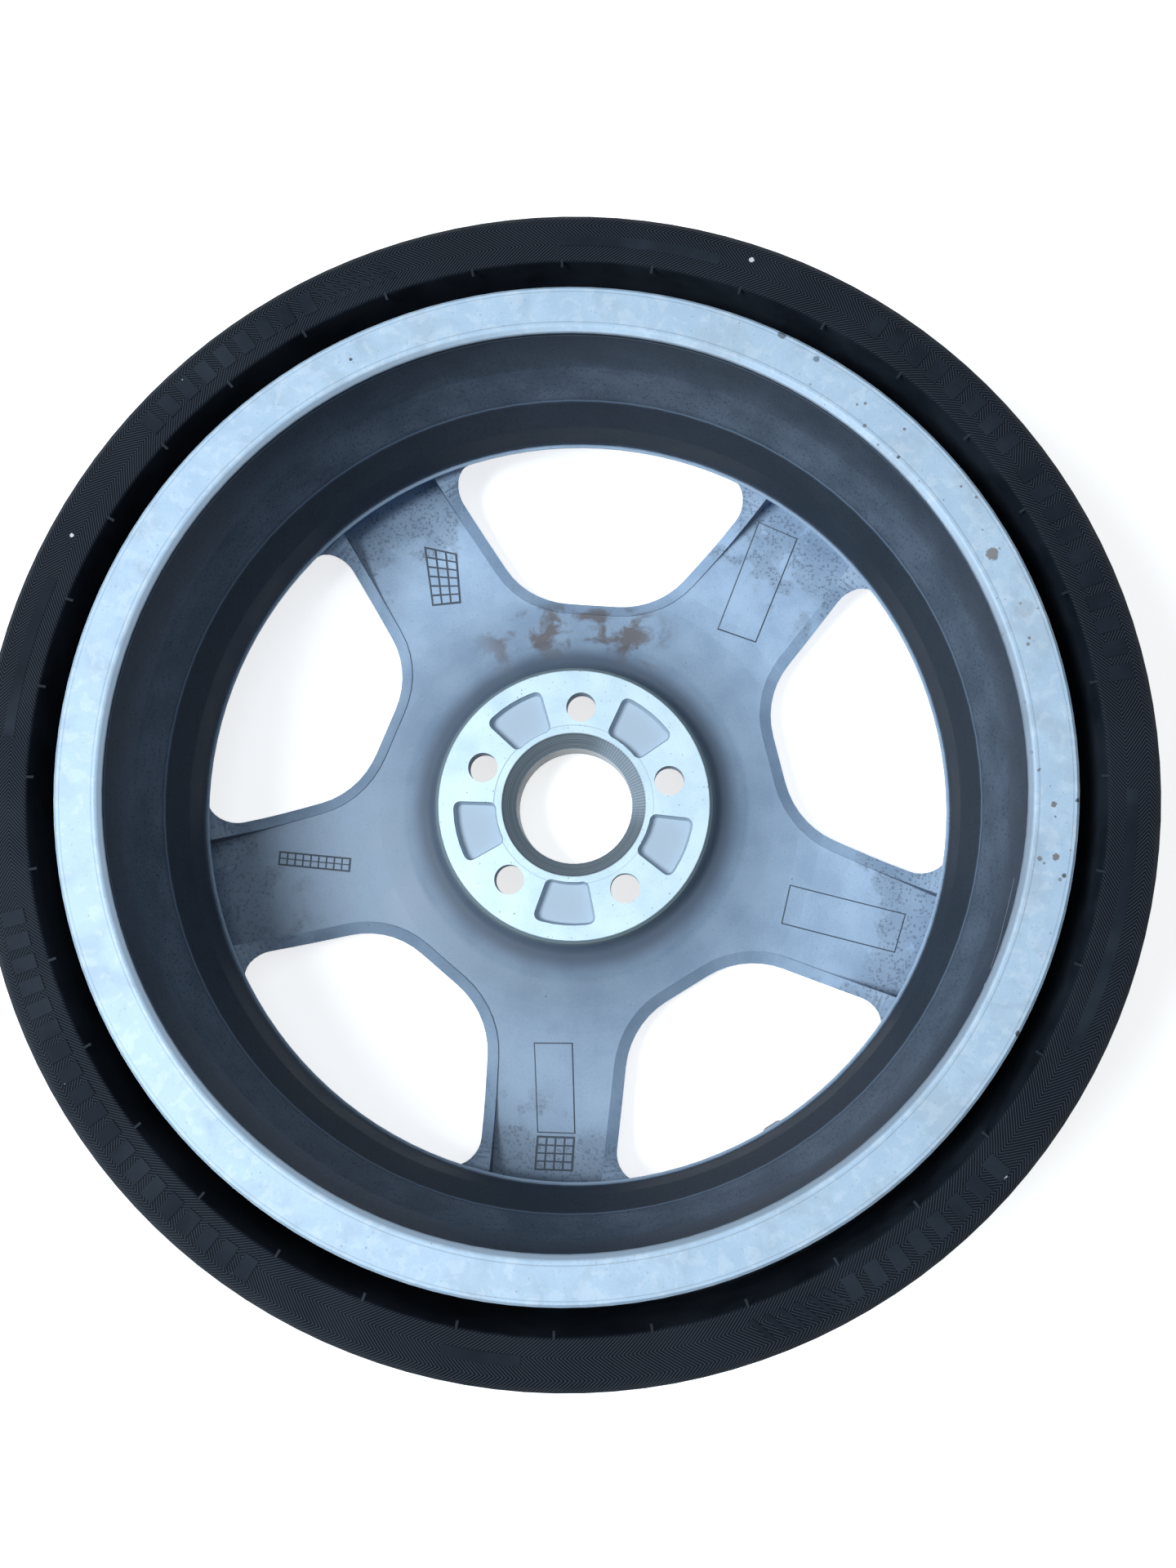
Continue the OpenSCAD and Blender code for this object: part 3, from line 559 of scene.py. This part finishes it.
def addShell(mesh, tops, bottoms):
    # closes two grids of points of the same shape into one solid
    upper = [[mesh.verts.new(p) for p in row] for row in tops]
    lower = [[mesh.verts.new(p) for p in row] for row in bottoms]
    last, end = len(tops) - 1, len(tops[0]) - 1
    for grid in (upper, lower):
        for i in range(last):
            for j in range(end):
                mesh.faces.new((grid[i][j], grid[i + 1][j], grid[i + 1][j + 1], grid[i][j + 1]))
    for i in range(last):
        for j in (0, end):
            mesh.faces.new((upper[i][j], upper[i + 1][j], lower[i + 1][j], lower[i][j]))
    for j in range(end):
        for i in (0, last):
            mesh.faces.new((upper[i][j], upper[i][j + 1], lower[i][j + 1], lower[i][j]))


def addSector(mesh, inner, outer, start, end, low, high, draft=0.35, slant=0.0):
    # a raised block between two radii and two angles, its sides drawn in towards the top
    count = max(1, math.ceil(abs(end - start) / 2.0))
    tops, bottoms = [], []
    for i in range(count + 1):
        lean = math.degrees(draft / outer) * (1 - 2 * i / count)
        angle = start + (end - start) * i / count
        bottoms.append([polarPlace(inner, angle, low), polarPlace(outer, angle + slant, low)])
        tops.append([polarPlace(inner + draft, angle + lean, high),
                     polarPlace(outer - draft, angle + lean + slant, high)])
    addShell(mesh, tops, bottoms)


# plain raised relief on the tyre's near side, where mouldings were: rows of blocks, slanted bars, strips
sideRelief = {
    "level": 126.5, "sink": 0.4, "blockRise": 0.5, "blockInner": 268.0, "blockOuter": 280.0,
    "blockWidth": 8.0, "blockPitch": 11.5,
    "rows": [(121.5, 143.9), (40.2, 60.1), (13.8, 38.1), (-56.5, -36.8), (-162.0, -117.0)],
    "barRows": [(112.3, 120.0), (-66.4, -58.0)], "barWidth": 3.2, "barPitch": 6.4, "barSlant": 1.4,
    "stripInner": 270.0, "stripOuter": 276.0, "stripRise": 0.25,
    "strips": [(77.2, 94.6), (-24.0, 2.9), (-97.0, -89.0), (162.6, 180.0)],
}
edgeTabs = {
    "count": 36, "first": 4.0, "inner": 258.6, "outer": 263.0, "width": 1.4, "top": 126.56, "thick": 0.5,
}


def makeSideRelief(size):
    mesh = bmesh.new()
    low = size["level"] - size["sink"]
    mean = (size["blockInner"] + size["blockOuter"]) / 2
    blocks = (size["rows"], size["blockWidth"], size["blockPitch"], 0.0)
    bars = (size["barRows"], size["barWidth"], size["barPitch"], size["barSlant"])
    for rows, width, pitch, slant in (blocks, bars):
        for start, end in rows:
            wide, step = math.degrees(width / mean), math.degrees(pitch / mean)
            count = int((end - start - wide) / step) + 1
            gap = (end - start - wide) / max(1, count - 1)
            for i in range(count):
                angle = start + i * gap
                addSector(mesh, size["blockInner"], size["blockOuter"], angle, angle + wide, low,
                          size["level"] + size["blockRise"], slant=slant)
    for start, end in size["strips"]:
        addSector(mesh, size["stripInner"], size["stripOuter"], start, end, low,
                  size["level"] + size["stripRise"])
    finishPiece(mesh, "tyre_side_relief", plainRubber)


def makeEdgeTabs(size):
    mesh = bmesh.new()
    wide = math.degrees(size["width"] / size["inner"])
    for i in range(size["count"]):
        angle = size["first"] + i * 360 / size["count"]
        addSector(mesh, size["inner"], size["outer"], angle, angle + wide, size["top"] - size["thick"],
                  size["top"], draft=0.15)
    finishPiece(mesh, "tyre_edge_tabs", scuffedRubber)


tabLook = dict(tyreLook, dark=(0.012, 0.016, 0.022), light=(0.024, 0.030, 0.038))
scuffedRubber = makeTyreMaterial(tabLook, "scuffedRubber", lines=False)
makeSideRelief(sideRelief)
makeEdgeTabs(edgeTabs)

rimMesh = nodes["wheel_rim"].data
rimPlace = nodes["wheel_rim"].matrix_world
rimPoints = [rimPlace @ vertex.co for vertex in rimMesh.vertices]
rimTree = BVHTree.FromPolygons(rimPoints, [tuple(face.vertices) for face in rimMesh.polygons])


# how deep in mm a draped plate's underside lies in the casting, and the squares it is divided into
plateSink = 0.3
plateSteps = (14, 5)


def surfaceHeight(x, y):
    # height in mm of the rim's back under a place seen from behind
    hit = rimTree.ray_cast(Vector((x / 1000, y / 1000, 0.05)), Vector((0, 0, -1)))[0]
    return hit.z * 1000


def addDraped(mesh, corners, rise, steps):
    # a plate between four corners that follows the rim's back
    a, b, c, d = [Vector(corner) for corner in corners]
    tops, bottoms = [], []
    for i in range(steps[0] + 1):
        near, far = a.lerp(b, i / steps[0]), d.lerp(c, i / steps[0])
        row = [near.lerp(far, j / steps[1]) for j in range(steps[1] + 1)]
        heights = [surfaceHeight(p.x, p.y) for p in row]
        tops.append([(p.x, p.y, z + rise) for p, z in zip(row, heights)])
        bottoms.append([(p.x, p.y, z - plateSink) for p, z in zip(row, heights)])
    addShell(mesh, tops, bottoms)


# bare cast plates and small cell grids on the backs of the spokes, corners in mm
spokePlates = {
    "rise": 0.6, "cellRise": 0.42, "cellInset": 0.1, "dirtMargin": 0.7, "dirtRise": 0.08,
    "plates": [
        ((127.2, -35.5), (193.3, -47.0), (188.4, -68.4), (123.9, -57.0)),
        ((75.8, 112.9), (95.6, 178.8), (118.0, 170.2), (97.8, 106.9)),
        ((-12.9, -136.8), (-7.0, -186.0), (13.5, -185.0), (8.2, -135.2)),
    ],
    "cells": [
        (((-103.0, 151.0), (-95.0, 116.0), (-79.0, 119.0), (-84.0, 148.0)), (6, 3)),
        (((-7.0, -189.0), (-7.0, -207.0), (13.8, -206.0), (13.6, -188.0)), (4, 4)),
        (((-172.0, -38.0), (-172.0, -45.0), (-130.0, -46.0), (-130.0, -39.0)), (2, 9)),
    ],
}


def widened(corners, margin):
    # the same four corners, each further from their middle by margin on both sides
    middle = sum((Vector(corner) for corner in corners), Vector((0, 0))) / 4
    along = (Vector(corners[1]) - Vector(corners[0])).normalized()
    aside = (Vector(corners[3]) - Vector(corners[0])).normalized()
    spread = []
    for corner in corners:
        off = Vector(corner) - middle
        spread.append(Vector(corner) + along * math.copysign(margin, off.dot(along))
                      + aside * math.copysign(margin, off.dot(aside)))
    return spread


def makePlateDirt(size):
    mesh = bmesh.new()
    for corners in size["plates"] + [group[0] for group in size["cells"]]:
        addDraped(mesh, widened(corners, size["dirtMargin"]), size["dirtRise"], plateSteps)
    finishPiece(mesh, "dirt_round_the_plates", turned["settledDirt"])


def makeSpokePlates(size):
    mesh = bmesh.new()
    for corners in size["plates"]:
        addDraped(mesh, corners, size["rise"], plateSteps)
    for corners, (rows, columns) in size["cells"]:
        a, b, c, d = [Vector(corner) for corner in corners]

        def place(u, v):
            return a.lerp(b, u).lerp(d.lerp(c, u), v)

        for i in range(rows):
            for j in range(columns):
                near, far = size["cellInset"], 1 - size["cellInset"]
                ends = [(i + near, j + near), (i + far, j + near), (i + far, j + far), (i + near, j + far)]
                corners = [place(u / rows, v / columns) for u, v in ends]
                addDraped(mesh, corners, size["cellRise"], (1, 1))
    finishPiece(mesh, "spoke_back_plates", castAlloy)


makePlateDirt(spokePlates)
makeSpokePlates(spokePlates)


# the core's spring as round wire, coiled at an even pitch
springShape = {"turns": 7, "steps": 24, "sides": 10, "coil": 1.0, "fixedHeight": -25.0, "travel": 1.5}


def makeSpring(size, node):
    corners = [node.matrix_world @ Vector(corner) * 1000 for corner in node.bound_box]
    low = [min(corner[i] for corner in corners) for i in range(3)]
    high = [max(corner[i] for corner in corners) for i in range(3)]
    middle = [(low[i] + high[i]) / 2 for i in range(2)]
    wire = (high[0] - low[0]) / 2 - size["coil"]
    length = high[2] - low[2] - 2 * wire
    count = size["turns"] * size["steps"]
    mesh = bmesh.new()
    rings = []
    for i in range(count + 1):
        turn = 2 * math.pi * i / size["steps"]
        ring = []
        for j in range(size["sides"]):
            tilt = 2 * math.pi * j / size["sides"]
            reach = size["coil"] + wire * math.cos(tilt)
            height = low[2] + wire + length * i / count + wire * math.sin(tilt)
            x = middle[0] + reach * math.cos(turn)
            y = middle[1] + reach * math.sin(turn)
            ring.append(mesh.verts.new((x, y, height)))
        rings.append(ring)
    for first, second in zip(rings, rings[1:]):
        for j in range(size["sides"]):
            k = (j + 1) % size["sides"]
            mesh.faces.new((first[j], first[k], second[k], second[j]))
    mesh.faces.new(rings[0])
    mesh.faces.new(rings[-1])
    for face in mesh.faces:
        face.smooth = True
    piece = finishPiece(mesh, "round_wire_spring", turned["springWire"])
    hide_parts("valve_core_spring")
    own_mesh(piece)


makeSpring(springShape, nodes["valve_core_spring"])
print("relief pieces and spring ready")

# the floor in m, 0.1 mm under the wheel, with how white it shows and how rough it is
stageSize = {
    "floorRadius": 3.0, "floorHeight": -0.0498, "floorWhite": 0.72, "floorColour": (0.86, 0.87, 0.88, 1),
    "floorRoughness": 0.9,
}


def whiteRays(tree):
    # 1 for rays that show the backdrop, 0 for those that light the object
    light = put(tree, "LightPath").outputs
    shown = calc(tree, "MAXIMUM", light["Is Glossy Ray"], light["Is Transmission Ray"])
    return calc(tree, "MAXIMUM", light["Is Camera Ray"], shown)


def makeFloor(size):
    mesh = bmesh.new()
    bmesh.ops.create_circle(mesh, cap_ends=True, radius=size["floorRadius"], segments=96)
    bmesh.ops.translate(mesh, verts=mesh.verts, vec=(0, 0, size["floorHeight"]))
    data = bpy.data.meshes.new("floor")
    mesh.to_mesh(data)
    mesh.free()
    floor = bpy.data.objects.new("floor", data)
    bpy.context.collection.objects.link(floor)
    material, tree, shader = newMaterial("paleFloor")
    shader.inputs["Base Color"].default_value = size["floorColour"]
    shader.inputs["Roughness"].default_value = size["floorRoughness"]
    strength = times(tree, whiteRays(tree), size["floorWhite"])
    glow = put(tree, "Emission", Color=(1, 1, 1, 1), Strength=strength)
    both = tree.nodes.new("ShaderNodeAddShader")
    tree.links.new(shader.outputs[0], both.inputs[0])
    tree.links.new(glow.outputs[0], both.inputs[1])
    # seen from below, the floor lets the object and the sky through
    mixed = put(tree, "MixShader", Fac=put(tree, "NewGeometry").outputs["Backfacing"])
    tree.links.new(both.outputs[0], mixed.inputs[1])
    tree.links.new(put(tree, "BsdfTransparent").outputs[0], mixed.inputs[2])
    tree.links.new(mixed.outputs[0], tree.nodes["Material Output"].inputs["Surface"])
    data.materials.append(material)


lampSet = {
    # name: (place in m, aimed at, diameter in m, watts, colour)
    "keyLamp": ((-0.99, -0.30, 1.94), (0, 0, 0.03), 0.9, 48.0, (0.86, 0.94, 1.0)),
    "topLamp": ((0.25, 0.35, 1.9), (0, 0, 0), 1.4, 7.0, (0.88, 0.95, 1.0)),
}


def makeLamps(lamps):
    for name, (place, aim, size, watts, colour) in lamps.items():
        lamp = bpy.data.lights.new(name, "AREA")
        lamp.shape = "DISK"
        lamp.size = size
        lamp.energy = watts
        lamp.color = colour
        holder = bpy.data.objects.new(name, lamp)
        holder.location = place
        holder.rotation_euler = (Vector(aim) - Vector(place)).to_track_quat("-Z", "Y").to_euler()
        bpy.context.collection.objects.link(holder)


# the sky's strength and colour as it lights the object, and as it is seen
skyLevel = {
    "ambient": 0.08, "white": 1.0, "ambientColour": (0.84, 0.93, 1.0), "whiteColour": (0.97, 0.98, 1.0),
}


def makeWorld(level):
    world = bpy.data.worlds.new("softSky")
    bpy.context.scene.world = world
    world.use_nodes = True
    tree = world.node_tree
    tree.nodes.clear()
    seen = whiteRays(tree)
    strength = put(tree, "MapRange", Value=seen, To_Min=level["ambient"], To_Max=level["white"]).outputs[0]
    colour = blend(tree, seen, level["ambientColour"], level["whiteColour"])
    sky = put(tree, "Background", Color=colour, Strength=strength)
    output = tree.nodes.new("ShaderNodeOutputWorld")
    tree.links.new(sky.outputs[0], output.inputs["Surface"])


# place in m, turn in degrees, lens and sensor in mm, and the depths in m between which it sees
cameraSetup = {
    "place": (0.05617, -0.08697, 0.84310), "turn": (6.93, 2.78, 4.45), "lens": 34.37, "sensor": 36.0,
    "nearest": 0.02, "furthest": 20.0,
}


def makeCamera(setup):
    data = bpy.data.cameras.new("viewCamera")
    data.lens = setup["lens"]
    data.sensor_width = setup["sensor"]
    data.sensor_fit = "AUTO"
    data.clip_start = setup["nearest"]
    data.clip_end = setup["furthest"]
    camera = bpy.data.objects.new("viewCamera", data)
    camera.location = setup["place"]
    camera.rotation_euler = [math.radians(a) for a in setup["turn"]]
    bpy.context.collection.objects.link(camera)
    bpy.context.scene.camera = camera


makeFloor(stageSize)
makeLamps(lampSet)
makeWorld(skyLevel)
makeCamera(cameraSetup)
bpy.context.scene.view_settings.view_transform = "Standard"
print("stage ready")
